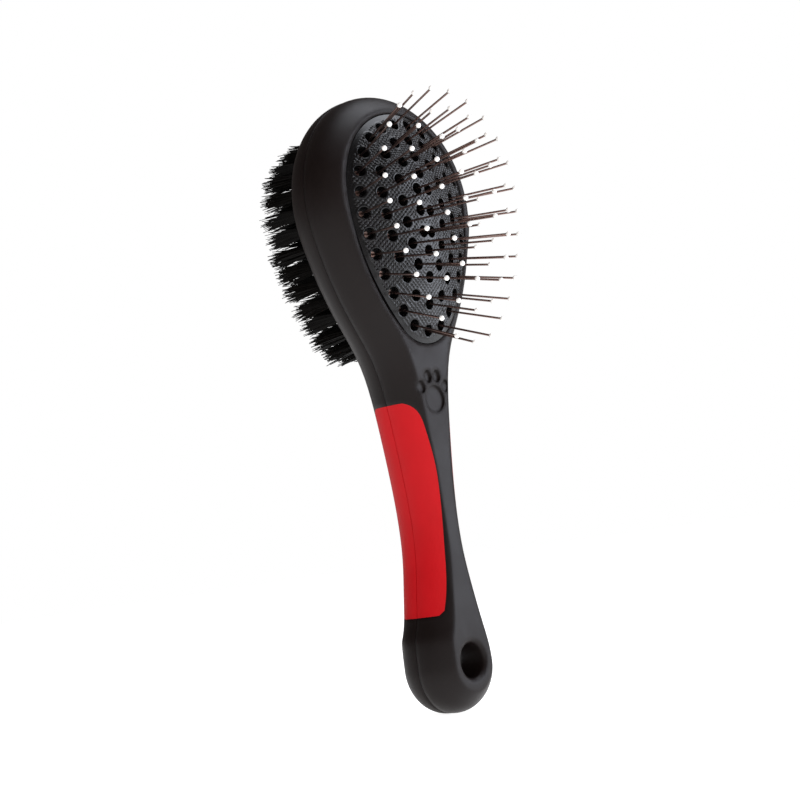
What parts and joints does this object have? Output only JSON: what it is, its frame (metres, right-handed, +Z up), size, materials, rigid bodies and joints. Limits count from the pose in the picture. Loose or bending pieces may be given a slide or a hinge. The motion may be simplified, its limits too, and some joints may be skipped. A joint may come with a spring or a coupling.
{
  "type": "double-sided pet brush",
  "caption": "Paddle-shaped pet brush with steel pins on an air cushion on one face, bristle tufts on the other and soft side grips.",
  "frame": {"origin": "centre of the hanging hole, on the mid-plane between the two faces", "axes": "+Z up the handle towards the head, pins point to -Y, bristles to +Y, X across the width"},
  "size_m": [0.065, 0.0601, 0.1801],
  "materials": {
    "shell_plastic": "matte moulded",
    "grip_rubber": "soft overmoulded",
    "inner_plastic": "moulded",
    "pad_rubber": "textured",
    "pin_steel": "drawn wire",
    "bead_plastic": "dipped, glossy",
    "bristle_nylon": "filament",
    "anchor_wire": "flattened wire"
  },
  "bodies": {
    "handle": {"front_shell": "shell_plastic", "back_shell": "shell_plastic", "left_grip": "grip_rubber", "right_grip": "grip_rubber", "air_tray": "inner_plastic", "bristle_plate": "inner_plastic", "bristle_tufts_ring_1": "bristle_nylon", "bristle_tufts_ring_2": "bristle_nylon", "bristle_tufts_ring_3": "bristle_nylon", "bristle_tufts_ring_4": "bristle_nylon", "tuft_anchors": "anchor_wire"},
    "pin_field": {"cushion_pad": "pad_rubber", "pins_ring_1": "pin_steel", "pins_ring_2": "pin_steel", "pins_ring_3": "pin_steel", "pins_ring_4": "pin_steel", "pin_beads_ring_1": "bead_plastic", "pin_beads_ring_2": "bead_plastic", "pin_beads_ring_3": "bead_plastic", "pin_beads_ring_4": "bead_plastic"}
  },
  "joints": [
    {"name": "pin_field_press", "type": "slide", "parent": "handle", "child": "pin_field", "axis": [0, 1, 0], "range_m": [0, 0.002], "stiffness_N_per_m": 2500, "deforming": ["cushion_pad"]}
  ]
}
